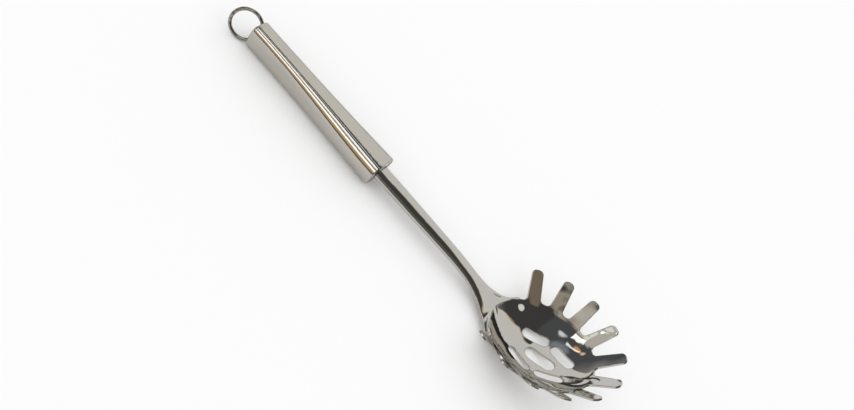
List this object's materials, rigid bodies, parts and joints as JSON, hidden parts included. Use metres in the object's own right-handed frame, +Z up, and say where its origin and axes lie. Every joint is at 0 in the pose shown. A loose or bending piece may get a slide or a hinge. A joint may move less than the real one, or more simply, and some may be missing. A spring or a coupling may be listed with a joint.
{
  "type": "pasta server",
  "caption": "Steel pasta server: slotted oval bowl with a crown of flared tines, slim shank, tapered hollow handle and a swinging hanging ring.",
  "frame": {"origin": "centre of the whole object's length and width, on the table that the handle's underside and the bowl's lowest point rest on", "axes": "+X along the handle toward the bowl and its front tine, +Z up and out of the bowl's mouth, +Y to the left of someone who looks along +X; y = 0 is the plane of symmetry of everything but the ring"},
  "size_m": [0.3284, 0.0904, 0.0436],
  "materials": {
    "polished_head": "mirror polished stainless steel",
    "satin_handle": "fine satin stainless steel, brushed along the handle",
    "satin_plate": "satin stainless steel",
    "satin_cap": "satin stainless steel",
    "bright_wire": "bright drawn stainless wire"
  },
  "bodies": {
    "server": {"server_head": "polished_head", "handle_shell": "satin_handle", "front_plate": "satin_plate", "end_cap": "satin_cap"},
    "ring": {"hanging_ring": "bright_wire"}
  },
  "joints": [
    {"name": "ring_swing", "type": "hinge", "parent": "server", "child": "ring", "pos_m": [-0.14641, 0, 0.0097], "axis": [0, 0.3746, 0.9272], "range_deg": [-53.5, 6.5]}
  ]
}
